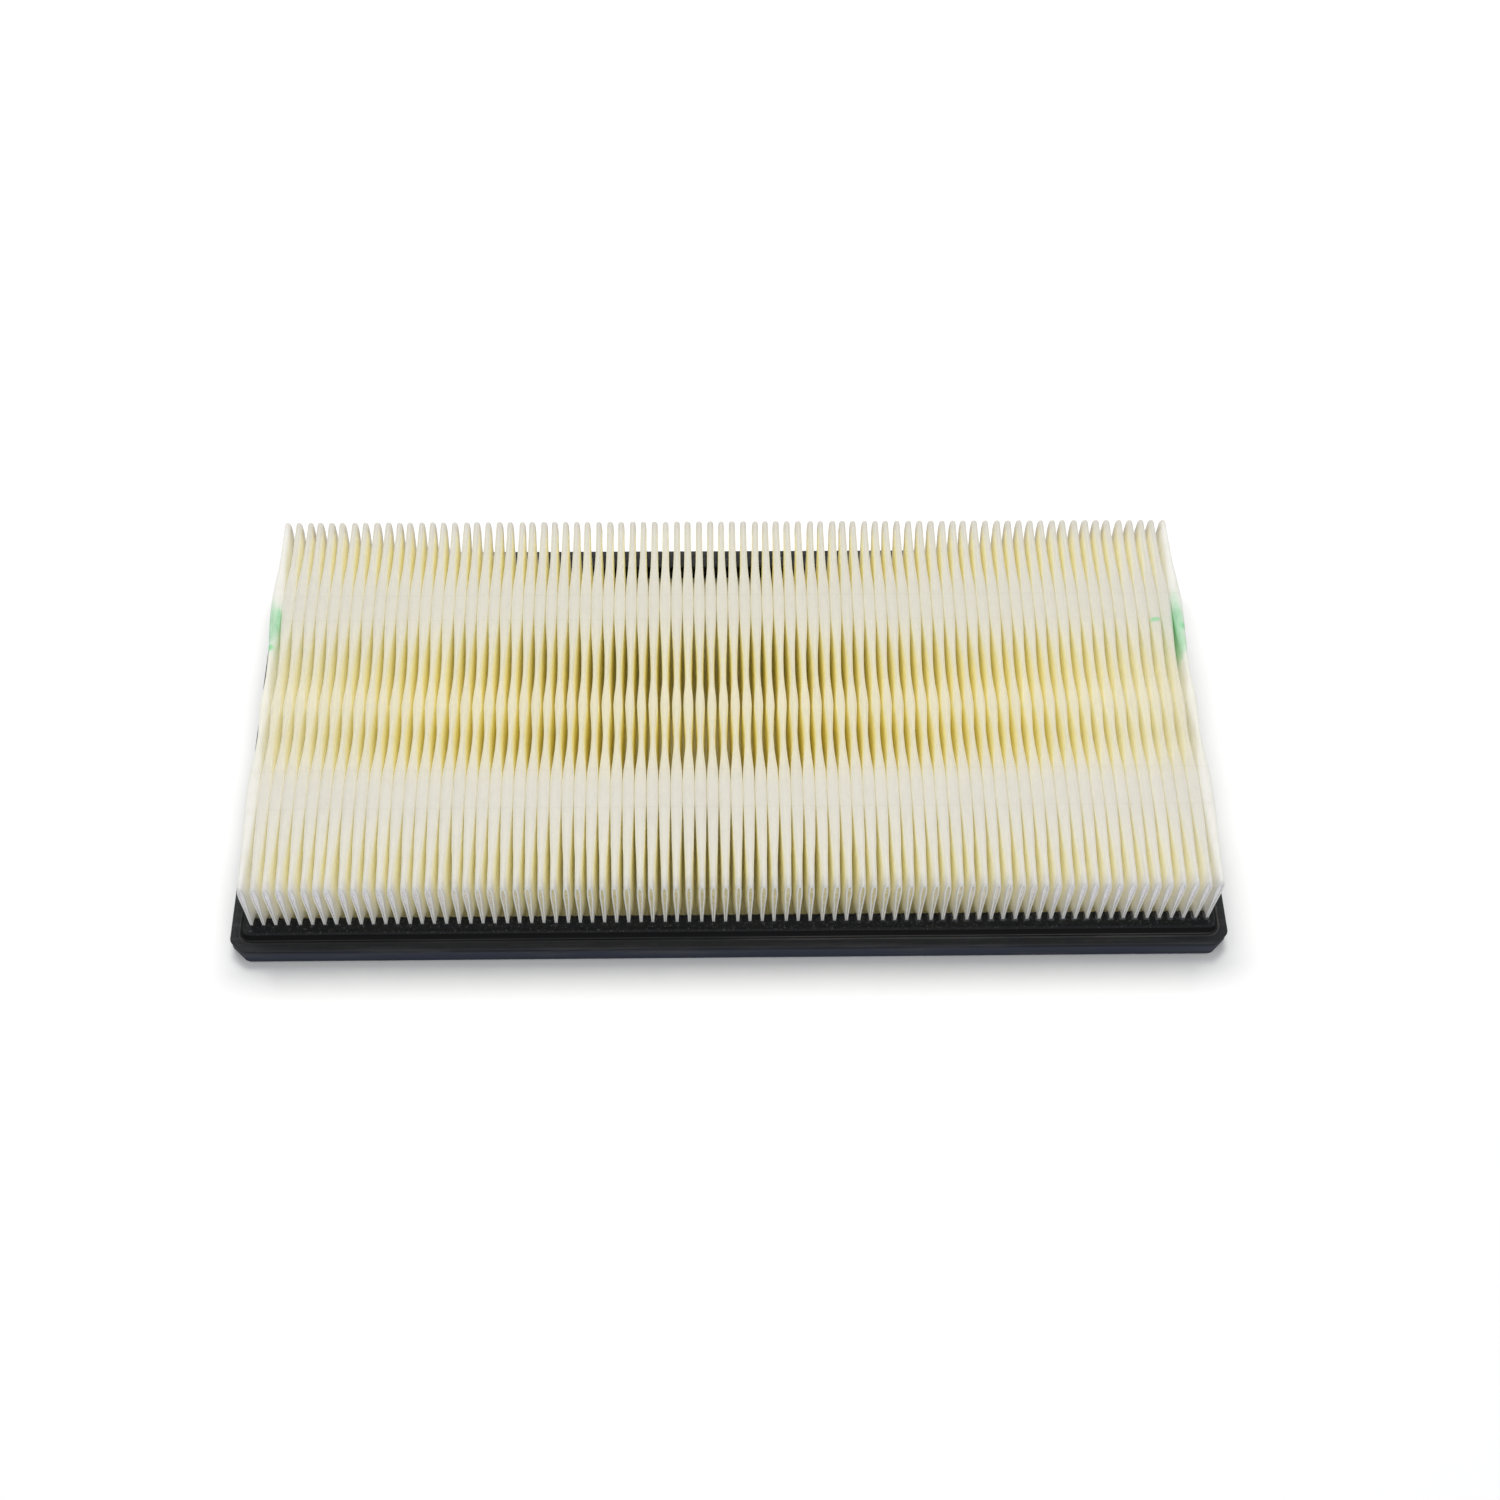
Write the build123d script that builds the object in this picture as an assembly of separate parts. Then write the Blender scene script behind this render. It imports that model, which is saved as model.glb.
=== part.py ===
"""Flat panel air filter: a folded paper medium cast into a soft polyurethane frame.

Millimetres. +X runs along the long side, across the pleats; +Y runs along the pleats to the
rear; +Z is up, towards the dirty side. The origin is the middle of the frame's underside.
"""
import os
from build123d import *

# Driving dimensions: the folded medium
pleat_count = 80
pleat_pitch = 3.6
pleat_length = 137.0        # along Y, from cut edge to cut edge
sheet_thickness = 0.45
crest_height = 30.2         # top of the folds above the underside
valley_clearance = 2.5      # the lowest folds above the underside

# Driving dimensions: the glue that closes each pleat's two open ends
seal_depth = 3.0            # along Y, inwards from the cut edge

# Driving dimensions: the cast frame
lip_length = 298.8
lip_width = 151.8
lip_thickness = 6.0
lip_corner_chamfer = 5.0
lip_corner_round = 2.0      # where the chamfer meets the straight sides
lip_edge_round = 0.7
plateau_length = 291.6      # at its foot, on the lip
plateau_width = 144.6
plateau_height = 9.1        # top of the frame, where the pleats come out of it
plateau_corner_radius = 3.0
plateau_draft = 20.0        # degrees, the outer walls lean in towards the top
plateau_edge_round = 0.8
end_grip = 2.5              # how far the casting reaches in over the pleats' cut edges
window_corner_radius = 1.0

# The fold: upright walls half a pitch apart, joined by half-round crests and valleys
fold_radius = pleat_pitch / 4
half_sheet = sheet_thickness / 2
crest_axis_z = crest_height - fold_radius - half_sheet
valley_axis_z = valley_clearance + fold_radius + half_sheet
first_crest_x = -(pleat_count - 1) * pleat_pitch / 2
crest_positions = [first_crest_x + i * pleat_pitch for i in range(pleat_count)]
valley_positions = [x + pleat_pitch / 2 for x in crest_positions[:-1]]
inner_half_gap = fold_radius - half_sheet


def crest_outline(crest_x, half_width):
    """Up one wall, over the crest and down the other wall."""
    left, right = crest_x - half_width, crest_x + half_width
    top = (crest_x, crest_axis_z + half_width)
    return [
        Line((left, valley_axis_z), (left, crest_axis_z)),
        ThreePointArc((left, crest_axis_z), top, (right, crest_axis_z)),
        Line((right, crest_axis_z), (right, valley_axis_z)),
    ]


def valley_outline(valley_x, radius):
    """The half-round fold between two neighbouring pleats."""
    left = (valley_x - radius, valley_axis_z)
    right = (valley_x + radius, valley_axis_z)
    return [ThreePointArc(left, (valley_x, valley_axis_z - radius), right)]


def fold_outline(offset):
    """One face of the sheet over its whole folded run, offset from the sheet's middle."""
    edges = []
    for crest_x in crest_positions:
        edges += crest_outline(crest_x, fold_radius + offset)
    for valley_x in valley_positions:
        edges += valley_outline(valley_x, fold_radius - offset)
    return edges


def end_ticks():
    """The two short lines across the sheet's thickness where the folded run starts and stops."""
    ticks = []
    for crest_x, side in ((crest_positions[0], -1), (crest_positions[-1], 1)):
        inner = (crest_x + side * (fold_radius - half_sheet), valley_axis_z)
        outer = (crest_x + side * (fold_radius + half_sheet), valley_axis_z)
        ticks.append(Line(inner, outer))
    return ticks


def floor_line(crest_x):
    """The straight underside of the glue inside one pleat."""
    return Line((crest_x - inner_half_gap, valley_axis_z), (crest_x + inner_half_gap, valley_axis_z))


def along_pleats(edges, start_y, end_y):
    """Extrude a closed XZ outline from start_y to end_y."""
    section = Pos(0, end_y, 0) * (Plane.XZ * make_face(edges))
    return extrude(section, amount=end_y - start_y)


def pleated_media():
    """The paper: one sheet, folded up and down over the whole length of the filter."""
    outline = fold_outline(half_sheet) + fold_outline(-half_sheet) + end_ticks()
    return along_pleats(outline, -pleat_length / 2, pleat_length / 2)


def end_seals(start_y):
    """A row of glue fillings, one inside each pleat, which close the pleats' ends."""
    fillings = []
    for crest_x in crest_positions:
        outline = crest_outline(crest_x, inner_half_gap) + [floor_line(crest_x)]
        fillings.append(along_pleats(outline, start_y, start_y + seal_depth))
    return Compound(children=fillings)


def pack_envelope():
    """The medium with every pleat filled: what the casting flows around."""
    outline = fold_outline(half_sheet) + end_ticks()
    for valley_x in valley_positions:
        outline += valley_outline(valley_x, fold_radius + half_sheet)
    outline += [floor_line(crest_x) for crest_x in crest_positions]
    return along_pleats(outline, -pleat_length / 2, pleat_length / 2)


def frame():
    """The casting: a flat sealing lip, a raised plateau around the pack, and the window."""
    outline = Rectangle(lip_length, lip_width)
    outline = chamfer(outline.vertices(), lip_corner_chamfer)
    outline = fillet(outline.vertices(), lip_corner_round)
    lip = extrude(outline, lip_thickness)
    lip = fillet(lip.faces().sort_by(Axis.Z)[-1].edges(), lip_edge_round)
    plateau = extrude(
        RectangleRounded(plateau_length, plateau_width, plateau_corner_radius),
        plateau_height - lip_thickness,
        taper=plateau_draft,
    )
    plateau = fillet(plateau.faces().sort_by(Axis.Z)[-1].edges(), plateau_edge_round)
    plateau = Pos(0, 0, lip_thickness) * plateau
    window = extrude(
        RectangleRounded(
            2 * crest_positions[-1],
            pleat_length - 2 * end_grip,
            window_corner_radius,
        ),
        plateau_height,
    )
    return lip + plateau - window - pack_envelope()


parts = {
    "frame": frame(),
    "pleated_media": pleated_media(),
    "front_end_seals": end_seals(-pleat_length / 2),
    "rear_end_seals": end_seals(pleat_length / 2 - seal_depth),
}

os.makedirs("parts", exist_ok=True)
for name, shape in parts.items():
    export_step(shape, f"parts/{name}.step")
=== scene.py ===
import math

import bpy
import numpy as np
from mathutils import Matrix, Vector


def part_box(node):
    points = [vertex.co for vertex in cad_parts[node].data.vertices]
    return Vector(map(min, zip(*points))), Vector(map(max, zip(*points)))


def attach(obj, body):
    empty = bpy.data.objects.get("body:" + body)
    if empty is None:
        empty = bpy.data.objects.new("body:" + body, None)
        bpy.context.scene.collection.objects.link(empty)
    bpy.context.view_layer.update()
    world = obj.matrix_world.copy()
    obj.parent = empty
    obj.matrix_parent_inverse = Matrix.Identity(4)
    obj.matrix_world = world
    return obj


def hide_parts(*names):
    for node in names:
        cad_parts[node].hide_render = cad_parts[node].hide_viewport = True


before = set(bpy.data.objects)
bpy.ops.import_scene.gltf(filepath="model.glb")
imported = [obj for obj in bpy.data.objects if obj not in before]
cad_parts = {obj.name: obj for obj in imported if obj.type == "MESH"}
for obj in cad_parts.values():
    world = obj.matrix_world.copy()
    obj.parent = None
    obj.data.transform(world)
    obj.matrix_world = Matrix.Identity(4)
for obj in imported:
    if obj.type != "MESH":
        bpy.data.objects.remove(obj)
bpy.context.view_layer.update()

# ---------------------------------------------------------------- sizes, in metres
MM = 0.001
PLEATS = 80
SHEET = 0.45 * MM

pack_low, pack_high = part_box("pleated_media")
_, frame_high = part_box("frame")
seal_low, seal_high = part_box("front_end_seals")

PITCH = (pack_high.x - pack_low.x - SHEET) / (PLEATS - 0.5)
HALF_LENGTH = pack_high.y
CREST_Z = pack_high.z
VALLEY_Z = pack_low.z
PLATEAU_Z = frame_high.z
SEAL_DEPTH = seal_high.y - seal_low.y
CREST_X = (np.arange(PLEATS) - (PLEATS - 1) / 2) * PITCH

# How wide the crests are: stations along the pleats from front to rear, and the width, in pitches
CREST_WIDTH = (
    (-19.05, 0.45), (-16.8, 0.54), (-14.0, 0.78), (-13.0, 0.83), (-10.8, 0.98), (-8.8, 0.99),
    (-4.3, 0.42), (-3.7, 0.42), (-1.0, 0.79), (2.1, 0.42), (2.9, 0.43),
    (9.4, 0.98), (10.4, 0.98), (15.2, 0.58), (19.05, 0.52),
)
PAD_FROM, PAD_SPAN = 0.66, 0.26     # the crest width at which a pad begins, and how much wider it is full
NARROW_CAP, PAD_CAP = 0.42, 0.28    # height of the crest's rounded cap in pitches, between pads and on them
RIGHT_LEAN = 0.8 * MM               # how far the last pleat on the right stands outwards
LEAN_REACH = 5.0                    # in pleats, how fast that dies out
END_HALF_WIDTH = 0.40 * MM          # half a pleat's width low down at its pinched cut ends
PINCHED_SHEET = 0.36 * MM           # the sheet's thickness there
END_PINCH = 9.0 * MM                # how far in from the cut edge the pinch reaches
FOLD_RADIUS = 0.12 * PITCH          # inside of the lowest folds
END_REACH = 20.0 * MM               # how far down the pinched ends reach their narrowest
END_BELLY = 0.05 * PITCH            # how far the cut ends swell out just below the crest
BELLY_DEPTH = 10.0 * MM             # how far down the belly reaches
TIP_DROP = 0.45 * MM                # how far the crests round off at the cut edges
TIP_REACH = 1.2 * MM                # and over what length
PAD_CLEARANCE = 0.01 * MM           # from each pleat to the middle between it and its neighbour
PAD_EDGES = (-11.4, -7.7, 1.5, 7.9, 10.6)   # faint score lines across the pleats, in pitches

# How uneven the pleats are
HARMONICS = 5
OWN_WAVE, SHARED_WAVE = 0.020, 0.022    # sideways sway in pitches, each pleat's own and a shared one
WAVE_FALL = 0.8                         # how fast the sway dies out towards the shorter waves
WAVE_TURNS = 0.8                        # turns of the longest wave over a pleat
PADS_HOLD = 0.9                         # the share of the sway that the pads take away
END_SPREAD = 0.045 * PITCH              # sideways scatter of the cut ends
END_SHARE = 0.2                         # the share of a pleat that it reaches in over
CREST_SPREAD = 0.07 * MM                # how much lower single crests are
WIDTH_SPREAD = 0.035                    # scatter of the crests' width, as a share of it

rng = np.random.default_rng(80)


def smooth_step(t):
    t = np.clip(t, 0.0, 1.0)
    return t * t * (3.0 - 2.0 * t)


def along(stations, y):
    """The stations' value at y, easing from each station to the next."""
    at = np.array([s[0] for s in stations]) * PITCH
    value = np.array([s[1] for s in stations])
    k = np.clip(np.searchsorted(at, y) - 1, 0, len(at) - 2)
    t = smooth_step((y - at[k]) / (at[k + 1] - at[k]))
    return value[k] + (value[k + 1] - value[k]) * t


# ---------------------------------------------------------------- the folded sheet's irregularity
def neighbour_blur(values, passes):
    """Makes neighbouring pleats lean alike."""
    for _ in range(passes):
        padded = np.concatenate([values[:1], values, values[-1:]])
        values = (padded[:-2] + 2 * padded[1:-1] + padded[2:]) / 4
    return values


wave_size = (
    OWN_WAVE * neighbour_blur(rng.normal(size=(PLEATS, HARMONICS)), 1)
    + SHARED_WAVE * neighbour_blur(rng.normal(size=(PLEATS, HARMONICS)), 6)
) * PITCH / np.arange(1, HARMONICS + 1) ** WAVE_FALL
wave_phase = rng.uniform(0, 2 * math.pi, size=(PLEATS, HARMONICS))
end_scatter = END_SPREAD * rng.normal(size=(PLEATS, 2))
crest_drop = CREST_SPREAD * np.abs(rng.normal(size=(PLEATS, 3)))
width_scatter = rng.normal(size=(PLEATS, 4))


def pad_share(y):
    """1 where the embossed pads touch each other and 0 where the crests are narrow."""
    return smooth_step((along(CREST_WIDTH, y) - PAD_FROM) / PAD_SPAN)


def share_along(y):
    """0 at the front cut edge and 1 at the rear one."""
    return (y + HALF_LENGTH) / (2 * HALF_LENGTH)


def crest_shift(i, y):
    """How far the crest stands to the side of its place, from the pads' push and from handling."""
    t = share_along(y)
    shift = RIGHT_LEAN * math.exp((i - PLEATS + 1) / LEAN_REACH)
    ends = np.sin(math.pi * np.clip(t, 0, 1)) ** 0.5
    free = 1 - PADS_HOLD * pad_share(y)
    for k in range(HARMONICS):
        wave = np.sin(2 * math.pi * (k + 1) * t * WAVE_TURNS + wave_phase[i, k])
        shift = shift + wave_size[i, k] * wave * ends * free
    front, rear = end_scatter[i]
    at_front = smooth_step(1 - t / END_SHARE)
    at_rear = smooth_step((t - (1 - END_SHARE)) / END_SHARE)
    return shift + front * at_front + rear * at_rear


def crest_half_width(i, y):
    """Half the width of the crest, outside, with each pleat a little different."""
    t = share_along(y)
    scatter = 0.0
    for k in range(width_scatter.shape[1]):
        scatter = scatter + width_scatter[i, k] * np.sin(math.pi * (1.7 * k + 1) * t + 2.1 * k)
    spare = 1 - 0.8 * pad_share(y)
    half = 0.5 * PITCH * along(CREST_WIDTH, y) * (1 + WIDTH_SPREAD * scatter * spare)
    # touching pads press on each other and don't run into each other
    room = PITCH / 2
    for neighbour in (i - 1, i + 1):
        if 0 <= neighbour < PLEATS:
            apart = CREST_X[neighbour] + crest_shift(neighbour, y) - CREST_X[i] - crest_shift(i, y)
            room = np.minimum(room, np.abs(apart) / 2)
    return np.minimum(half, room - PAD_CLEARANCE)


def crest_height(i, y):
    """Height of the crest's top, a little lower on each pleat and rounded off at the cut edges."""
    t = share_along(y)
    front, middle, rear = crest_drop[i]
    wave = middle * np.sin(math.pi * t) ** 2
    tip = TIP_DROP * np.clip(1 - (HALF_LENGTH - np.abs(y)) / TIP_REACH, 0, 1) ** 2
    return CREST_Z - front * (1 - t) ** 2 - rear * t ** 2 - wave - tip


CAP_ANGLES = (30.0, 62.0, 90.0)              # degrees from the crest's top, round its cap
WALL_DEPTHS = (2.8 * MM, 5.2 * MM, 8.8 * MM, 13.6 * MM, 20.4 * MM)
SIDE_LEVELS = len(CAP_ANGLES) + len(WALL_DEPTHS) + 2   # then the fold's side and its quarter


def pinch(y):
    """1 at the cut edges and 0 inside, past the reach of the glued ends."""
    return 1 - smooth_step((HALF_LENGTH - np.abs(y)) / END_PINCH)


def blend(a, b, share):
    return a + (b - a) * share


def section(i, side, level, y, inner):
    """A point of the sheet's section at y: x and z. inner is 0 on the dirty face, 1 on the clean one."""
    top = crest_height(i, y)
    half = crest_half_width(i, y)
    squeeze = pinch(y)
    cap = blend(NARROW_CAP, PAD_CAP, pad_share(y)) * PITCH
    bottom = VALLEY_Z + SHEET + FOLD_RADIUS
    low = blend(PITCH / 2 - FOLD_RADIUS, END_HALF_WIDTH, squeeze)
    reach = blend(top - bottom, END_REACH, squeeze)
    sheet = inner * blend(SHEET, PINCHED_SHEET, squeeze)
    if level < len(CAP_ANGLES):
        turn = math.radians(CAP_ANGLES[level])
        offset = (half - inner * SHEET) * math.sin(turn)
        z = top - cap + (cap - inner * SHEET) * math.cos(turn)
    elif level < len(CAP_ANGLES) + len(WALL_DEPTHS):
        depth = WALL_DEPTHS[level - len(CAP_ANGLES)]
        z = top - depth
        taper = np.clip((depth - cap) / (reach - cap), 0, 1)
        belly = np.clip((depth - cap) / (BELLY_DEPTH - cap), 0, 1)
        offset = blend(half, low, taper) - blend(inner * SHEET, sheet, taper)
        offset = offset + 4 * END_BELLY * squeeze * belly * (1 - belly)
    elif level == SIDE_LEVELS - 2:
        z = bottom + 0 * y
        offset = low - sheet
    else:
        turn = math.radians(45)
        z = bottom - (FOLD_RADIUS + inner * SHEET) * math.sin(turn) + 0 * y
        offset = PITCH / 2 - (PITCH / 2 - low + sheet) * math.cos(turn)
    lean = (z - VALLEY_Z) / (CREST_Z - VALLEY_Z)
    return CREST_X[i] + side * offset + crest_shift(i, y) * np.clip(lean, 0, 1), z


def crest_point(i, y, inner):
    return CREST_X[i] + crest_shift(i, y), crest_height(i, y) - inner * SHEET


def valley_point(i, y, inner):
    return CREST_X[i] + PITCH / 2 + 0 * y, VALLEY_Z + SHEET * (1 - inner) + 0 * y


def sheet_columns(y, inner):
    """The section's points over the whole folded run, one column of the sheet for each."""
    columns = []
    for i in range(PLEATS):
        first = SIDE_LEVELS - 1 if i == 0 else SIDE_LEVELS
        last = SIDE_LEVELS - 1 if i == PLEATS - 1 else SIDE_LEVELS
        columns += [section(i, -1, level, y, inner) for level in reversed(range(first))]
        columns.append(crest_point(i, y, inner))
        columns += [section(i, 1, level, y, inner) for level in range(last)]
        if i < PLEATS - 1:
            columns.append(valley_point(i, y, inner))
    return np.array(columns)     # columns, (x, z), rows


def new_mesh(name, vertices, faces, sharp_degrees):
    mesh = bpy.data.meshes.new(name)
    mesh.from_pydata([tuple(v) for v in vertices], [], faces)
    mesh.validate()
    mesh.shade_smooth()
    mesh.set_sharp_from_angle(angle=math.radians(sharp_degrees))
    piece = bpy.data.objects.new(name, mesh)
    bpy.context.scene.collection.objects.link(piece)
    return piece


ROW_SPACING = 4.9 * MM                              # the most between rows, from first to last station
NEAR_END = np.array([0.0, 0.7, 1.8, 3.4]) * MM      # rows close to each cut end, in from the edge
NEAR_END_ROWS = len(NEAR_END)


def sheet_rows():
    """Rows of the sheet along the pleats: on the stations of the crests' width, and between them."""
    near_end = HALF_LENGTH - NEAR_END
    stations = np.array([s[0] for s in CREST_WIDTH[1:-1]]) * PITCH
    rows = [*-near_end, stations[0]]
    for a, b in zip(stations, stations[1:]):
        steps = max(1, math.ceil((b - a) / ROW_SPACING))
        rows += [a + (b - a) * k / steps for k in range(1, steps + 1)]
    return np.sort(np.array([*rows, *near_end]))


def filter_medium():
    rows = sheet_rows()
    # the clean face has fewer rows: the stations', and the innermost of those near the cut ends
    clean_index = {int(np.abs(rows - s[0] * PITCH).argmin()) for s in CREST_WIDTH}
    clean_index = sorted(clean_index | {NEAR_END_ROWS - 1, len(rows) - NEAR_END_ROWS})
    clean_rows = rows[clean_index]
    dirty = sheet_columns(rows, 0)
    clean = sheet_columns(clean_rows, 1)
    count, dirty_rows, clean_count = dirty.shape[0], len(rows), len(clean_rows)

    vertices = np.zeros((count * (dirty_rows + clean_count), 3))
    vertices[: count * dirty_rows, 0] = dirty[:, 0, :].ravel()
    vertices[: count * dirty_rows, 1] = np.tile(rows, count)
    vertices[: count * dirty_rows, 2] = dirty[:, 1, :].ravel()
    vertices[count * dirty_rows:, 0] = clean[:, 0, :].ravel()
    vertices[count * dirty_rows:, 1] = np.tile(clean_rows, count)
    vertices[count * dirty_rows:, 2] = clean[:, 1, :].ravel()

    def outer(c, r):
        return c * dirty_rows + r

    def inner(c, r):
        return count * dirty_rows + c * clean_count + r

    faces = []
    dirty_last, clean_last = dirty_rows - 1, clean_count - 1
    for c in range(count - 1):
        for r in range(dirty_last):
            faces.append((outer(c, r), outer(c + 1, r), outer(c + 1, r + 1), outer(c, r + 1)))
        for r in range(clean_last):
            faces.append((inner(c, r + 1), inner(c + 1, r + 1), inner(c + 1, r), inner(c, r)))
        faces.append((outer(c + 1, 0), outer(c, 0), inner(c, 0), inner(c + 1, 0)))
        faces.append((
            outer(c, dirty_last), outer(c + 1, dirty_last),
            inner(c + 1, clean_last), inner(c, clean_last),
        ))
    for c, flip in ((0, False), (count - 1, True)):
        for k in range(clean_last):
            edge = [outer(c, r) for r in range(clean_index[k], clean_index[k + 1] + 1)]
            face = edge + [inner(c, k + 1), inner(c, k)]
            faces.append(tuple(reversed(face)) if flip else tuple(face))
    return new_mesh("filter_medium", vertices, faces, 50)


# ---------------------------------------------------------------- glue in the pleats' ends
GLUE_RECESS = 0.35 * MM             # in from the paper's cut edge
GLUE_BULGE = 0.08 * MM
GLUE_SCATTER = 0.06 * MM            # how much the recess varies


def glue_beads(name, end):
    """The fillings inside the pleats at one end: -1 is the front, 1 the rear."""
    face_y = end * (HALF_LENGTH - GLUE_RECESS)
    back_y = end * (HALF_LENGTH - SEAL_DEPTH)
    levels = range(len(CAP_ANGLES) + len(WALL_DEPTHS))
    vertices, faces = [], []
    for i in range(PLEATS):
        start = len(vertices)
        recess = end * GLUE_SCATTER * rng.uniform(-1, 1)
        for y, bulge in ((face_y + recess, end * GLUE_BULGE), (back_y, -end * GLUE_BULGE)):
            y_row = np.array([y])
            x, z = crest_point(i, y_row, 1)
            vertices.append((x[0], y, z[0]))
            for level in levels:
                left = section(i, -1, level, y_row, 1)
                right = section(i, 1, level, y_row, 1)
                middle = (left[0][0] + right[0][0]) / 2
                vertices.append((left[0][0], y, left[1][0]))
                vertices.append((middle, y + bulge, left[1][0]))
                vertices.append((right[0][0], y, right[1][0]))
        ring = 1 + 3 * len(levels)
        for side in (0, ring):
            top = start + side
            rows = [(top, top, top)]
            rows += [(top + 1 + 3 * k, top + 2 + 3 * k, top + 3 + 3 * k) for k in levels]
            for upper, lower in zip(rows, rows[1:]):
                for a in (0, 1):
                    face = [upper[a], lower[a], lower[a + 1], upper[a + 1]]
                    # the top row is one point, so the faces below it are triangles
                    face = [v for n, v in enumerate(face) if v not in face[:n]]
                    faces.append(tuple(face if side == 0 else reversed(face)))
        outline = [start] + [start + 3 + 3 * k for k in levels]
        outline += [start + 2 + 3 * (len(levels) - 1)]
        outline += [start + 1 + 3 * k for k in reversed(levels)]
        for a, b in zip(outline, outline[1:] + outline[:1]):
            faces.append((a, b, b + ring, a + ring))
    if end > 0:
        faces = [tuple(reversed(f)) for f in faces]
    return new_mesh(name, vertices, faces, 60)


# ---------------------------------------------------------------- the cast frame
END_GRIP = 2.5 * MM                                 # how far the casting reaches in over the cut edges
WINDOW_X = CREST_X[-1]
WINDOW_Y = HALF_LENGTH - END_GRIP
WINDOW_RADIUS = 1.0 * MM
WINDOW_CHAMFER = 0.35 * MM                          # at the window's lower edge
LIP_TOP = 6.0 * MM
LIP_X, LIP_Y = frame_high.x, frame_high.y
UPPER_CHAMFER, LOWER_CHAMFER = 3.8 * MM, 5.4 * MM    # at the lip's corners, on top and at the foot
LIP_ROUND = 3.0 * MM                                # where a corner's chamfer meets the straight sides
FOOT_INSET = 3.6 * MM                               # from the lip's edge in to the plateau's foot
FOOT_RADIUS = 3.0 * MM
HALF_TURN = math.tan(math.radians(22.5))            # tangent length of a 45 degree arc of radius 1
CORNER_ARC = (0.0, 14.0, 28.0, 42.0)                # degrees round each end of a corner
TOP_DIP = 0.2 * MM                                  # how much lower the plateau is inside its rim
TOP_ROWS = 7                                        # rows of the top from its rim in to the window
POINTS_PER_PLEAT = 6                                # along the ring's long sides
SIDE_REACH, SIDE_POINTS = 62 * MM, 32               # half the run along its short sides, and points on it
CREEP_HEIGHT, CREEP_REACH = 0.45 * MM, 0.55 * MM    # the casting's skin round each pleat's foot
LUMP_HEIGHT = 0.05 * MM


def cut_corner(inset, z):
    """The lip's corner, offset inwards: the chamfer's leg and the radius at its two ends."""
    leg = blend(LOWER_CHAMFER, UPPER_CHAMFER, z / LIP_TOP)
    return leg - inset * (2 - math.sqrt(2)), max(LIP_ROUND - inset, 0.3 * MM)


def round_corner(radius):
    """A plain quarter circle, as a chamfer whose two end arcs meet."""
    return radius * HALF_TURN * math.sqrt(2), radius


def frame_profile():
    """The ring's section from the window's lower edge, under the lip, up its side and over the top.
    Each point: half the ring's length and width there, its corner, and the height."""
    points = []

    def lip(inset, z):
        points.append((LIP_X - inset, LIP_Y - inset, cut_corner(inset, z), z))

    def step(inset, z):
        corner = round_corner(FOOT_RADIUS - inset)
        points.append((LIP_X - FOOT_INSET - inset, LIP_Y - FOOT_INSET - inset, corner, z))

    window_corner = round_corner(WINDOW_RADIUS)
    points.append((WINDOW_X, WINDOW_Y, window_corner, WINDOW_CHAMFER))
    points.append((WINDOW_X + WINDOW_CHAMFER, WINDOW_Y + WINDOW_CHAMFER, window_corner, 0.0))
    lip(0.6 * MM, 0.0)
    lip(0.25 * MM, 0.1 * MM)
    # the mould's parting line is a thin bead along the foot of the side face
    lip(0.04 * MM, 0.3 * MM)
    lip(0.0, 0.45 * MM)
    lip(0.2 * MM, 0.7 * MM)
    lip(0.28 * MM, 0.95 * MM)
    side, radius = 0.35 * MM, 0.8 * MM
    lip(side, LIP_TOP - radius - 0.1 * MM)
    for angle in (25, 50, 75):
        turn = math.radians(angle)
        lip(side + radius * (1 - math.cos(turn)), LIP_TOP - radius * (1 - math.sin(turn)))
    lip(side + radius + 0.15 * MM, LIP_TOP)
    # a low bead and a groove follow the foot of the plateau
    step(-0.95 * MM, LIP_TOP - 0.02 * MM)
    step(-0.75 * MM, LIP_TOP + 0.1 * MM)
    step(-0.5 * MM, LIP_TOP + 0.2 * MM)
    step(-0.25 * MM, LIP_TOP + 0.12 * MM)
    step(-0.08 * MM, LIP_TOP - 0.15 * MM)
    step(0.08 * MM, LIP_TOP)
    step(0.85 * MM, PLATEAU_Z - 0.95 * MM)
    edge_inset, edge_radius = 0.92 * MM, 0.62 * MM
    for angle in (25, 55, 85):
        turn = math.radians(angle)
        inset = edge_inset + edge_radius * (1 - math.cos(turn))
        step(inset, PLATEAU_Z - 0.05 * MM - edge_radius * (1 - math.sin(turn)))
    # inside its rim the plateau is a little lower
    step(edge_inset + edge_radius + 0.35 * MM, PLATEAU_Z - TOP_DIP)
    return points


def pleat_foot_distance(x, y):
    """Distance on the plateau from the nearest pleat's foot."""
    i = np.clip(np.round((x - CREST_X[0]) / PITCH).astype(int), 0, PLEATS - 1)
    across = np.maximum(np.abs(x - CREST_X[i]) - END_HALF_WIDTH, 0)
    beyond = np.maximum(np.abs(y) - HALF_LENGTH, 0)
    return np.hypot(across, beyond)


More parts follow.
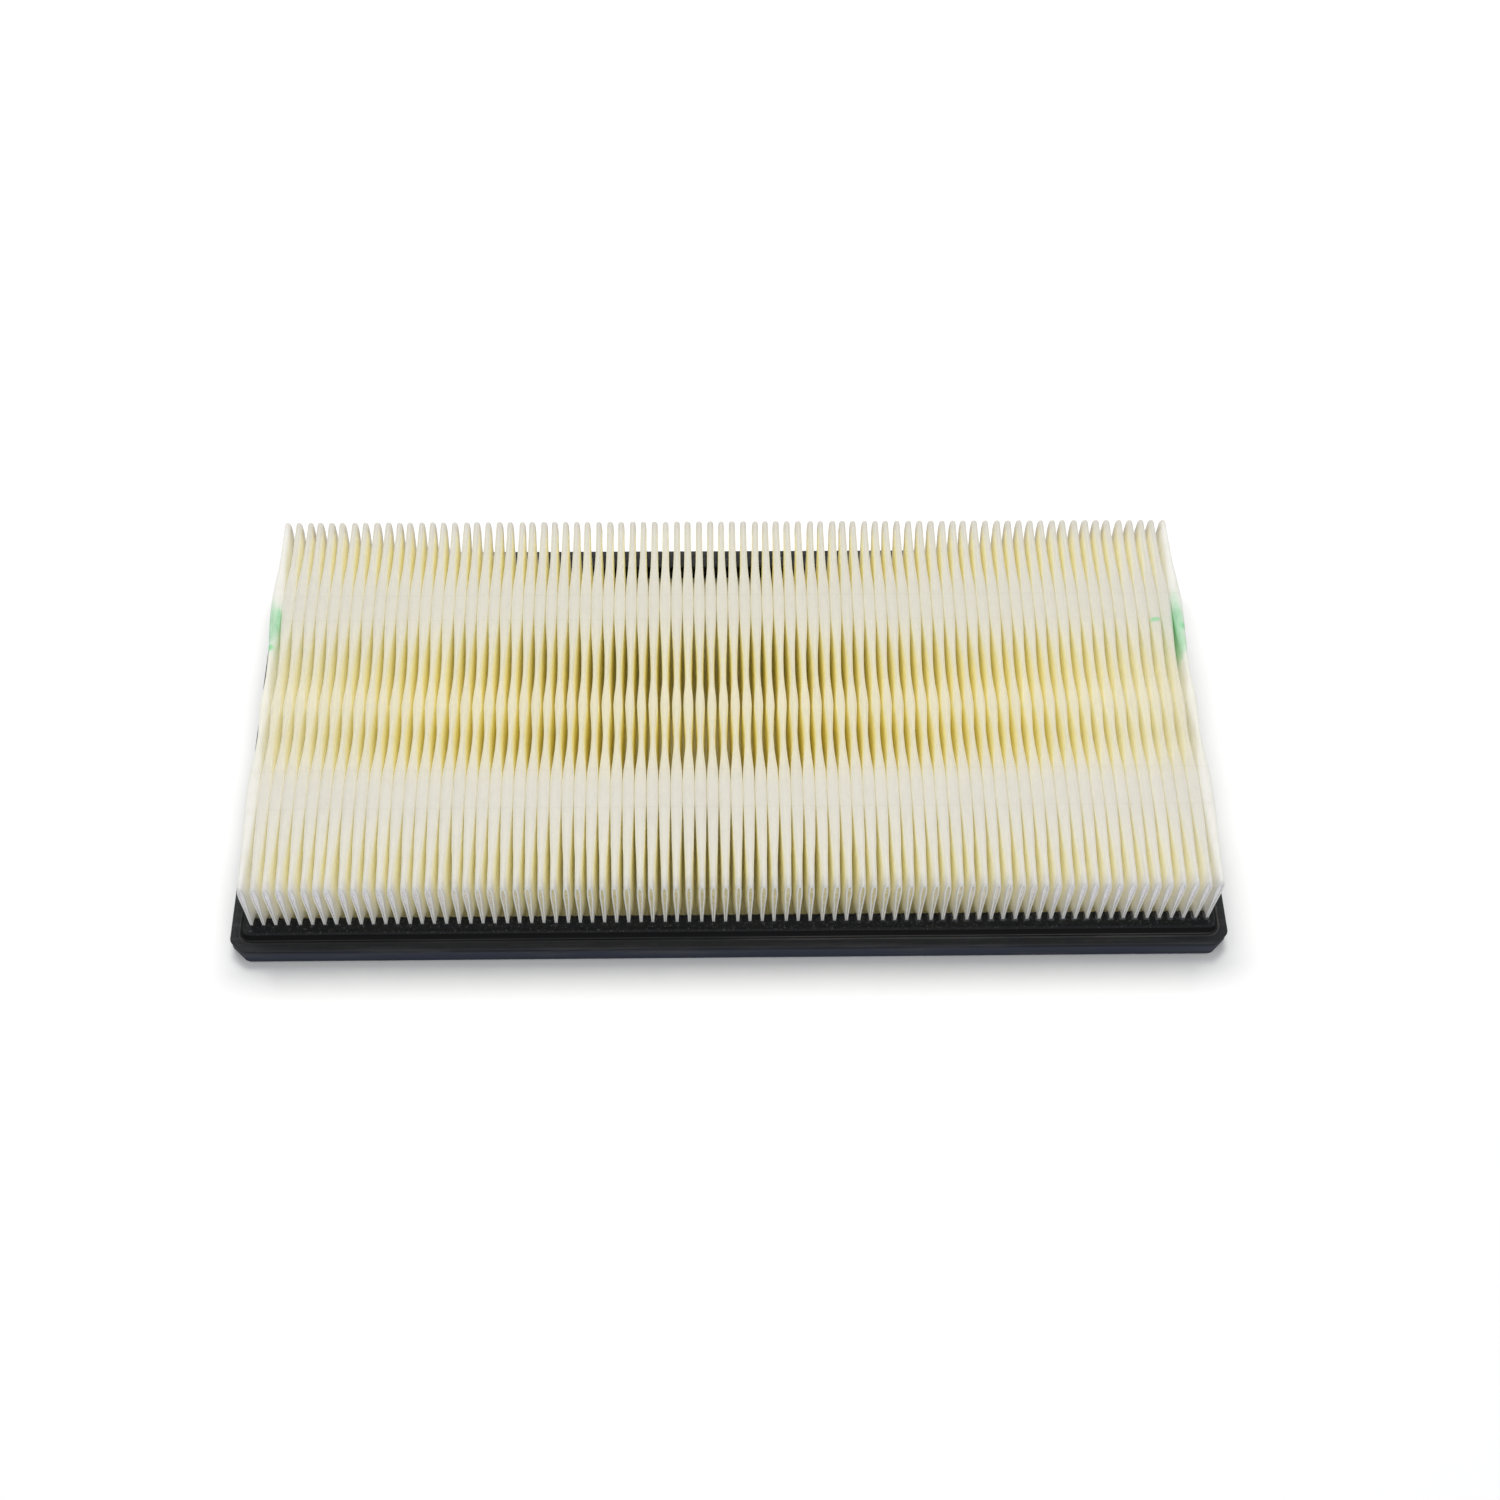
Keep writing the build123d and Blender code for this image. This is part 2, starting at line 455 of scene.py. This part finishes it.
def ring(half_x, half_y, corner, straight_x, straight_y):
    """Points round a rectangle with cut or rounded corners, anticlockwise from the front edge's left."""
    leg, radius = corner
    reach = leg + radius * HALF_TURN        # from the rectangle's own corner to the first arc's start
    arc = np.radians(CORNER_ARC)
    first = [(-reach + radius * math.sin(a), radius * (1 - math.cos(a))) for a in arc]
    second = [(-v, -u) for u, v in reversed(first)]
    turned = first + second                 # in from the corner along its first side, then its second
    points = [(x, -half_y) for x in straight_x]
    points += [(half_x + u, -half_y + v) for u, v in turned]
    points += [(half_x, y) for y in straight_y]
    points += [(half_x - v, half_y + u) for u, v in turned]
    points += [(x, half_y) for x in straight_x[::-1]]
    points += [(-half_x - u, half_y - v) for u, v in turned]
    points += [(-half_x, y) for y in straight_y[::-1]]
    points += [(-half_x + v, -half_y - u) for u, v in turned]
    return np.array(points)


def straight_run():
    """Where the ring's long sides have points: evenly over the pleats, clear of the window's corners."""
    margin = PITCH / 3
    count = (PLEATS - 1) * POINTS_PER_PLEAT + 5
    run = np.linspace(CREST_X[0] - margin, CREST_X[-1] + margin, count)
    return run[np.abs(run) < WINDOW_X - WINDOW_RADIUS - 0.2 * MM]


def moulded_frame():
    straight_x = straight_run()
    straight_y = np.linspace(-SIDE_REACH, SIDE_REACH, SIDE_POINTS)
    profile = frame_profile()
    edge = profile[-1]
    inner = (WINDOW_X, WINDOW_Y, round_corner(WINDOW_RADIUS))
    for share in np.linspace(0.0, 1.0, TOP_ROWS + 1)[1:]:
        half_x, half_y = (blend(edge[k], inner[k], share) for k in range(2))
        corner = tuple(blend(a, b, share) for a, b in zip(edge[2], inner[2]))
        profile.append((half_x, half_y, corner, PLATEAU_Z - TOP_DIP))
    first_top = len(profile) - TOP_ROWS
    rings = []
    for n, (half_x, half_y, corner, z) in enumerate(profile):
        outline = ring(half_x, half_y, corner, straight_x, straight_y)
        height = np.full(len(outline), z)
        if n >= first_top:
            height += top_relief(outline, n - first_top)
        rings.append(np.column_stack([outline, height]))
    count = len(rings[0])
    vertices = np.concatenate(rings)
    faces = []
    for n in range(len(rings)):
        upper, lower = n * count, ((n + 1) % len(rings)) * count
        for k in range(count):
            m = (k + 1) % count
            faces.append((upper + k, upper + m, lower + m, lower + k))
    return new_mesh("moulded_frame", vertices, faces, 40)


def top_relief(outline, row):
    """The cast top: it creeps up at each pleat's foot and its skin is uneven."""
    x, y = outline[:, 0], outline[:, 1]
    distance = pleat_foot_distance(x, y)
    creep = CREEP_HEIGHT * np.exp(-(distance / CREEP_REACH) ** 2)
    at_ends = np.abs(y) > WINDOW_Y - 0.1 * MM
    lumps = LUMP_HEIGHT * rng.normal(size=len(outline)) * (row < TOP_ROWS - 1)
    return np.where(at_ends, creep, 0.0) + lumps


# ---------------------------------------------------------------- materials
def material(name):
    made = bpy.data.materials.new(name)
    made.use_nodes = True
    tree = made.node_tree
    tree.nodes.clear()
    return made, tree


def node(tree, kind, inputs=None, **settings):
    """A shader node. inputs maps a socket's name or number to a value or to another node's output."""
    made = tree.nodes.new("ShaderNode" + kind)
    for key, value in settings.items():
        setattr(made, key, value)
    for key, value in (inputs or {}).items():
        if isinstance(value, bpy.types.NodeSocket):
            tree.links.new(value, made.inputs[key])
        else:
            made.inputs[key].default_value = value
    return made


def maths(tree, operation, a, b=0.0):
    return node(tree, "Math", {0: a, 1: b}, operation=operation).outputs[0]


def strongest(tree, values):
    """The highest of several values at each point."""
    total = values[0]
    for value in values[1:]:
        total = maths(tree, "MAXIMUM", total, value)
    return total


def ramp(tree, value, low, high, to_low=0.0, to_high=1.0):
    """Eases from to_low, where the value is low, to to_high, where it is high."""
    inputs = {0: value, 1: low, 2: high, 3: to_low, 4: to_high}
    return node(tree, "MapRange", inputs, interpolation_type="SMOOTHSTEP").outputs[0]


def mix(tree, factor, a, b):
    """Colour a where factor is 0 and b where it is 1."""
    made = node(tree, "Mix", data_type="RGBA")
    for socket, value in ((made.inputs[0], factor), (made.inputs[6], a), (made.inputs[7], b)):
        if isinstance(value, bpy.types.NodeSocket):
            tree.links.new(value, socket)
        else:
            socket.default_value = value if not isinstance(value, tuple) else (*value, 1.0)
    return made.outputs[2]


def place(tree):
    """The point in the row frame, in metres: the whole vector and its parts."""
    vector = node(tree, "TexCoord").outputs["Object"]
    parts = node(tree, "SeparateXYZ", {0: vector})
    return vector, parts.outputs[0], parts.outputs[1], parts.outputs[2]


def noise(tree, vector, scale, detail=3.0, stretch=(1.0, 1.0, 1.0), roughness=0.55):
    scaled = node(tree, "VectorMath", {0: vector, 1: stretch}, operation="MULTIPLY").outputs[0]
    inputs = {"Vector": scaled, "Scale": scale, "Detail": detail, "Roughness": roughness}
    return node(tree, "TexNoise", inputs).outputs["Fac"]


def spot(tree, vector, centre, radii, wander):
    """A soft blot: 1 inside, 0 outside, with a ragged edge."""
    away = node(tree, "VectorMath", {0: vector, 1: centre}, operation="SUBTRACT").outputs[0]
    scaled = node(tree, "VectorMath", {0: away, 1: radii}, operation="DIVIDE").outputs[0]
    distance = node(tree, "VectorMath", {0: scaled}, operation="LENGTH").outputs["Value"]
    ragged = maths(tree, "ADD", distance, wander)
    return ramp(tree, ragged, 0.45, 1.35, 1.0, 0.0)


def shade(tree, inputs, normal=None, let_through=0.0):
    """The surface. let_through is the share of light that a thin sheet passes on, in its own colour."""
    shader = node(tree, "BsdfPrincipled", inputs)
    if normal is not None:
        tree.links.new(normal, shader.inputs["Normal"])
    surface = shader.outputs[0]
    if let_through:
        behind = node(tree, "BsdfTranslucent", {"Color": inputs["Base Color"]})
        surface = node(tree, "MixShader", {0: let_through, 1: surface, 2: behind.outputs[0]}).outputs[0]
    output = node(tree, "OutputMaterial")
    tree.links.new(surface, output.inputs[0])


def bump(tree, height, strength, distance):
    return node(tree, "Bump", {"Height": height, "Strength": strength, "Distance": distance}).outputs[0]


SHADED_CREST_COLOUR = (0.83, 0.803, 0.68)
WHITE_CREST = (0.828, 0.815, 0.775)
SHADED_REAR_CREST = (0.71, 0.705, 0.68)
LIT_WALL_COLOUR = (0.999, 0.988, 0.87)
PALE_WALL = (0.998, 0.993, 0.965)
CUT_EDGE_COLOUR = (0.76, 0.762, 0.755)
OUTER_WALL = (0.95, 0.947, 0.935)
FLECK_COLOUR = (0.70, 0.67, 0.58)       # darker clumps of fibre on the crests
FIBRE_COLOUR = (0.97, 0.965, 0.93)      # single bright fibres there
SCORE_COLOUR = (0.45, 0.40, 0.28)
CREST_TINT_DEPTH = 1.3 * MM             # how far down the crests' darker colour reaches: painted shade on the lit crests
PAPER_LETS_THROUGH = 0.45
DYE_COLOUR = (0.30, 0.80, 0.42)
DYE_STREAK = (0.06, 0.52, 0.20)


def whiteness(tree, y):
    """How white the crests are: fully in the front part, mostly in the rear, and not between."""
    front = ramp(tree, y, -10.0 * PITCH, -4.6 * PITCH, 1.0, 0.0)
    rear = ramp(tree, y, 2.5 * PITCH, 8.5 * PITCH, 0.0, 0.75)
    return maths(tree, "MAXIMUM", front, rear)


def paper():
    made, tree = material("filter_paper")
    vector, x, y, z = place(tree)
    fibres = noise(tree, vector, 1500, 4.0, (0.45, 1.0, 0.6), 0.65)
    clumps = noise(tree, vector, 420, 3.0, (1.0, 0.5, 1.0))
    on_crest = ramp(tree, z, CREST_Z - CREST_TINT_DEPTH, CREST_Z - 0.1 * MM)
    white = whiteness(tree, y)
    crest = mix(tree, white, SHADED_CREST_COLOUR, WHITE_CREST)
    # Darker towards the rear: painted shade that holds back the light of the lamp behind.
    crest = mix(tree, ramp(tree, y, 0.0, HALF_LENGTH, 0.0, 0.5), crest, SHADED_REAR_CREST)
    away_y, away_x = maths(tree, "ABSOLUTE", y), maths(tree, "ABSOLUTE", x)
    # The walls are paler near the cut edges, painted light for the light that comes in at the pack's open
    # ends, and paler towards the pack's two sides.
    painted_light_near_cut = ramp(tree, away_y, HALF_LENGTH - 9.0 * MM, HALF_LENGTH - 1.0 * MM, 0.0, 0.9)
    near_side = ramp(tree, away_x, CREST_X[-1] - 16 * PITCH, CREST_X[-1], 0.0, 0.8)
    near_edge = maths(tree, "MAXIMUM", painted_light_near_cut, near_side)
    pale = maths(tree, "MAXIMUM", maths(tree, "MULTIPLY", white, 0.68), near_edge)
    wall = mix(tree, pale, LIT_WALL_COLOUR, PALE_WALL)
    # The paper is painted darker on its crests than down its walls: painted shade on the lit crests,
    # painted light in the shaded gaps.
    colour = mix(tree, on_crest, wall, crest)
    at_cut = ramp(tree, away_y, HALF_LENGTH - 1.2 * MM, HALF_LENGTH - 0.1 * MM)
    at_side = ramp(tree, away_x, CREST_X[-1] - PITCH, CREST_X[-1] + 0.9 * MM, 0.0, 0.7)
    colour = mix(tree, at_side, colour, OUTER_WALL)
    colour = mix(tree, at_cut, colour, CUT_EDGE_COLOUR)
    dark = maths(tree, "MULTIPLY", ramp(tree, clumps, 0.45, 0.75, 0.0, 0.14), on_crest)
    colour = mix(tree, dark, colour, FLECK_COLOUR)
    bright = maths(tree, "MULTIPLY", ramp(tree, fibres, 0.5, 0.8, 0.0, 0.2), on_crest)
    colour = mix(tree, bright, colour, FIBRE_COLOUR)
    lines = score_lines(tree, y)
    faint = maths(tree, "MULTIPLY", maths(tree, "MULTIPLY", lines, on_crest), 0.06)
    colour = mix(tree, faint, colour, SCORE_COLOUR)
    streaks = noise(tree, vector, 900, 2.0, (1.0, 0.22, 0.5))
    dye_colour = mix(tree, ramp(tree, streaks, 0.45, 0.72, 0.0, 0.8), DYE_COLOUR, DYE_STREAK)
    colour = mix(tree, dye_mask(tree, vector), colour, dye_colour)
    fibre_height, clump_height = maths(tree, "MULTIPLY", fibres, 0.6), maths(tree, "MULTIPLY", clumps, 0.5)
    height = maths(tree, "ADD", fibre_height, clump_height)
    height = maths(tree, "SUBTRACT", height, maths(tree, "MULTIPLY", lines, 0.5))
    normal = bump(tree, height, 0.3, 0.1 * MM)
    inputs = {
        "Base Color": colour,
        "Roughness": 0.88,
        "Specular IOR Level": 0.2,
        "Sheen Weight": 0.08,
        "Sheen Roughness": 0.5,
    }
    shade(tree, inputs, normal, PAPER_LETS_THROUGH)
    return made


def score_lines(tree, y):
    """Thin lines across the pleats where the embossing rolls' segments meet."""
    lines = []
    for at in PAD_EDGES:
        away = maths(tree, "ABSOLUTE", maths(tree, "SUBTRACT", y, at * PITCH))
        lines.append(ramp(tree, away, 0.1 * MM, 0.35 * MM, 1.0, 0.0))
    return strongest(tree, lines)


def dye_mask(tree, vector):
    """Marking dye on the outer pleats, soft and uneven, strongest in a few streaks."""
    wander = maths(tree, "SUBTRACT", noise(tree, vector, 260, 3.0, (1.0, 0.6, 1.0)), 0.5)
    wander = maths(tree, "MULTIPLY", wander, 1.1)
    reach = CREST_X[-1]
    # each blot: its centre, its radii and how strong it is
    blots = (
        ((-reach - 0.8 * MM, 27 * MM, 29 * MM), (2.2 * MM, 9 * MM, 6 * MM), 0.42),
        ((-reach + 1.0 * MM, 29 * MM, 29 * MM), (0.8 * MM, 6 * MM, 3 * MM), 0.55),
        ((-reach - 0.4 * MM, 18.5 * MM, 29 * MM), (1.2 * MM, 1.3 * MM, 3 * MM), 0.8),
        ((reach, 26 * MM, 28 * MM), (2.0 * MM, 11 * MM, 8 * MM), 0.5),
        ((reach + 1.2 * MM, 25 * MM, 28 * MM), (1.4 * MM, 2.2 * MM, 5 * MM), 0.75),
        ((reach - 2.0 * PITCH, 27.6 * MM, 30 * MM), (1.8 * MM, 0.8 * MM, 1.5 * MM), 0.6),
    )
    return strongest(tree, [
        maths(tree, "MULTIPLY", spot(tree, vector, centre, radii, wander), strength)
        for centre, radii, strength in blots
    ])


SHADED_BEIGE_GLUE = ((0.42, 0.37, 0.19), (0.55, 0.49, 0.30))      # its darkest and its lightest clouds
PALE_GLUE = ((0.60, 0.57, 0.61), (0.72, 0.69, 0.72))


def glue():
    """Hot-melt, pale towards the pack's two sides and beige in its middle, where its own beige is darkened
    by painted shade of its recess.
    """
    made, tree = material("seal_glue")
    vector, x, _, _ = place(tree)
    cloud = noise(tree, vector, 700, 2.0)
    beige = mix(tree, ramp(tree, cloud, 0.3, 0.7), *SHADED_BEIGE_GLUE)
    pale = mix(tree, ramp(tree, cloud, 0.3, 0.7), *PALE_GLUE)
    colour = mix(tree, ramp(tree, maths(tree, "ABSOLUTE", x), 45 * MM, 110 * MM), beige, pale)
    inputs = {"Base Color": colour, "Roughness": 0.5, "Specular IOR Level": 0.3}
    shade(tree, inputs, bump(tree, cloud, 0.3, 0.1 * MM))
    return made


LIP_BLACK = (0.025, 0.0255, 0.027)
TOP_BLACK = (0.016, 0.0165, 0.0175)
SHADED_WALL_BLACK = (0.003, 0.003, 0.0035)
SIDE_SKY_REFLECTION_BLACK = (0.025, 0.029, 0.043)
SHOULDER_SHADE_BLACK = (0.010, 0.0105, 0.013)
STREAK_GREY = (0.056, 0.057, 0.059)
FOOT_HIGHLIGHT_GREY = (0.075, 0.072, 0.070)
PAINTED_GLINT_GREY = (0.12, 0.122, 0.125)
RIM_HIGHLIGHT_GREY = (0.17, 0.175, 0.18)


def polyurethane():
    """The casting, told apart by height: side, lip, plateau wall and the uneven top."""
    made, tree = material("frame_polyurethane")
    vector, x, _, z = place(tree)
    grain = noise(tree, vector, 1500, 3.0)
    pits = noise(tree, vector, 800, 2.0)
    streaks = noise(tree, vector, 500, 3.0, (0.06, 1.0, 1.0))
    on_side = ramp(tree, z, LIP_TOP - 0.7 * MM, LIP_TOP - 0.15 * MM, 1.0, 0.0)
    on_wall = ramp(tree, z, LIP_TOP + 0.25 * MM, LIP_TOP + 0.5 * MM)
    on_top = ramp(tree, z, PLATEAU_Z - 0.8 * MM, PLATEAU_Z - 0.45 * MM)
    foot_line = ramp(tree, z, LIP_TOP + 0.02 * MM, LIP_TOP + 0.12 * MM)
    # The side face is painted bluish: a painted reflection of the sky.
    colour = mix(tree, on_side, LIP_BLACK, SIDE_SKY_REFLECTION_BLACK)
    # A darker band high on the side face, where it turns into the lip's rounded edge: painted shade.
    band_foot = ramp(tree, z, LIP_TOP - 1.6 * MM, LIP_TOP - 1.1 * MM)
    band_top = ramp(tree, z, LIP_TOP - 0.6 * MM, LIP_TOP - 0.3 * MM, 1.0, 0.0)
    painted_shoulder_shade = maths(tree, "MULTIPLY", band_foot, band_top)
    colour = mix(tree, painted_shoulder_shade, colour, SHOULDER_SHADE_BLACK)
    colour = mix(tree, ramp(tree, streaks, 0.45, 0.75, 0.0, 0.6), colour, STREAK_GREY)
    # A painted highlight along the plateau's foot, broken up by the streaks and stronger towards the right.
    painted_foot_highlight = maths(tree, "MULTIPLY", foot_line, ramp(tree, streaks, 0.3, 0.6, 0.3, 1.0))
    painted_foot_highlight = maths(tree, "MULTIPLY", painted_foot_highlight, ramp(tree, x, -30 * MM, 30 * MM, 0.25, 1.0))
    colour = mix(tree, painted_foot_highlight, colour, FOOT_HIGHLIGHT_GREY)
    # The plateau's wall is painted near-black: painted shade, where the wall only sees the dark lip below
    # it.
    colour = mix(tree, on_wall, colour, SHADED_WALL_BLACK)
    colour = mix(tree, on_top, colour, TOP_BLACK)
    # Painted glints scattered over the rough top.
    painted_glints = maths(tree, "MULTIPLY", ramp(tree, grain, 0.56, 0.72), on_top)
    colour = mix(tree, maths(tree, "MULTIPLY", painted_glints, 0.55), colour, PAINTED_GLINT_GREY)
    # a painted highlight where the casting creeps up the pleats' feet, strongest towards the right
    rim = maths(tree, "MULTIPLY", ramp(tree, z, PLATEAU_Z - 0.1 * MM, PLATEAU_Z + 0.1 * MM), grain)
    rim = maths(tree, "MULTIPLY", rim, ramp(tree, x, 20 * MM, 90 * MM, 0.15, 1.0))
    colour = mix(tree, rim, colour, RIM_HIGHLIGHT_GREY)
    roughness = ramp(tree, streaks, 0.3, 0.7, 0.42, 0.6)
    pit_depth = maths(tree, "ADD", maths(tree, "MULTIPLY", on_top, 1.6), 0.15)
    rough_top = maths(tree, "MULTIPLY", pits, pit_depth)
    height = maths(tree, "ADD", rough_top, maths(tree, "MULTIPLY", streaks, 0.25))
    inputs = {"Base Color": colour, "Roughness": roughness, "Specular IOR Level": 0.08}
    shade(tree, inputs, bump(tree, height, 0.6, 0.2 * MM))
    return made


# ---------------------------------------------------------------- floor, light and camera
FLOOR_REACH = 4.0
FLOOR_GAP = 0.05 * MM               # between the floor and the frame's underside
FLOOR_COLOUR = (0.93, 0.93, 0.93, 1.0)
SKY_COLOUR, SKY_STRENGTH = (0.97, 0.985, 1.0, 1.0), 0.48
LIGHT_BOUNCES = 64                  # the light between the pleats is mostly bounced or let through


def floor():
    a = FLOOR_REACH
    vertices = [(-a, -a, 0), (a, -a, 0), (a, a, 0), (-a, a, 0)]
    piece = new_mesh("floor", vertices, [(0, 1, 2, 3)], 30)
    made, tree = material("floor_white")
    shade(tree, {"Base Color": FLOOR_COLOUR, "Roughness": 0.9, "Specular IOR Level": 0.1})
    piece.data.materials.append(made)
    piece.location.z = -FLOOR_GAP


def area_light(name, location, target, size, watts, colour):
    data = bpy.data.lights.new(name, "AREA")
    data.shape = "RECTANGLE"
    data.size, data.size_y = size
    data.energy = watts
    data.color = colour
    light = bpy.data.objects.new(name, data)
    light.location = location
    light.rotation_euler = (Vector(target) - Vector(location)).to_track_quat("-Z", "Y").to_euler()
    bpy.context.scene.collection.objects.link(light)


def studio_light():
    world = bpy.data.worlds.new("studio")
    world.use_nodes = True
    background = world.node_tree.nodes["Background"]
    background.inputs[0].default_value = SKY_COLOUR
    background.inputs[1].default_value = SKY_STRENGTH
    bpy.context.scene.world = world
    area_light("key", (-0.05, 0.50, 1.0), (0, 0, 0), (0.9, 0.35), 11.0, (1.0, 0.99, 0.97))
    area_light("fill", (0.1, -1.5, 0.4), (0, 0, 0.02), (1.6, 0.4), 8.0, (0.96, 0.98, 1.0))


CAMERA_YAW, CAMERA_PITCH, CAMERA_ROLL = -2.6, 56.54, 1.812     # degrees
CAMERA_DISTANCE = 183.4 * PITCH
CAMERA_TARGET = Vector((1.83 * PITCH, -2.01 * PITCH, PLATEAU_Z))
LENS, SENSOR_WIDTH = 50.46, 36.0                                # millimetres


def camera():
    yaw, pitch, roll = (math.radians(a) for a in (CAMERA_YAW, CAMERA_PITCH, CAMERA_ROLL))
    level = Vector((math.cos(yaw), math.sin(yaw), 0))
    ahead = math.cos(pitch)
    forward = Vector((-math.sin(yaw) * ahead, math.cos(yaw) * ahead, -math.sin(pitch)))
    upward = level.cross(forward)
    right = level * math.cos(roll) + upward * math.sin(roll)
    up = upward * math.cos(roll) - level * math.sin(roll)
    data = bpy.data.cameras.new("camera")
    data.lens = LENS
    data.sensor_width = SENSOR_WIDTH
    data.clip_start, data.clip_end = 0.01, 20.0
    made = bpy.data.objects.new("camera", data)
    turn = Matrix((right, up, -forward)).transposed().to_4x4()
    made.matrix_world = Matrix.Translation(CAMERA_TARGET - forward * CAMERA_DISTANCE) @ turn
    bpy.context.scene.collection.objects.link(made)
    bpy.context.scene.camera = made


# ---------------------------------------------------------------- the pieces
# The rear beads' material is found by name, and that name is the carried-over CAD material's, which
# is plain: the glue made above is called seal_glue.001 by then, and only the front beads have it.
PIECES = (
    (filter_medium(), "pleated_media", "filter_paper", paper()),
    (glue_beads("front_glue_beads", -1), "front_end_seals", "seal_glue", glue()),
    (glue_beads("rear_glue_beads", 1), "rear_end_seals", "seal_glue", bpy.data.materials["seal_glue"]),
    (moulded_frame(), "frame", "frame_polyurethane", polyurethane()),
)
for piece, cad_node, slot, look in PIECES:
    piece.data.materials.append(look)
    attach(piece, "root")
    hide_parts(cad_node)

floor()
studio_light()
camera()
bpy.context.scene.view_settings.view_transform = "Standard"
cycles = bpy.context.scene.cycles
cycles.max_bounces = cycles.diffuse_bounces = cycles.transmission_bounces = LIGHT_BOUNCES
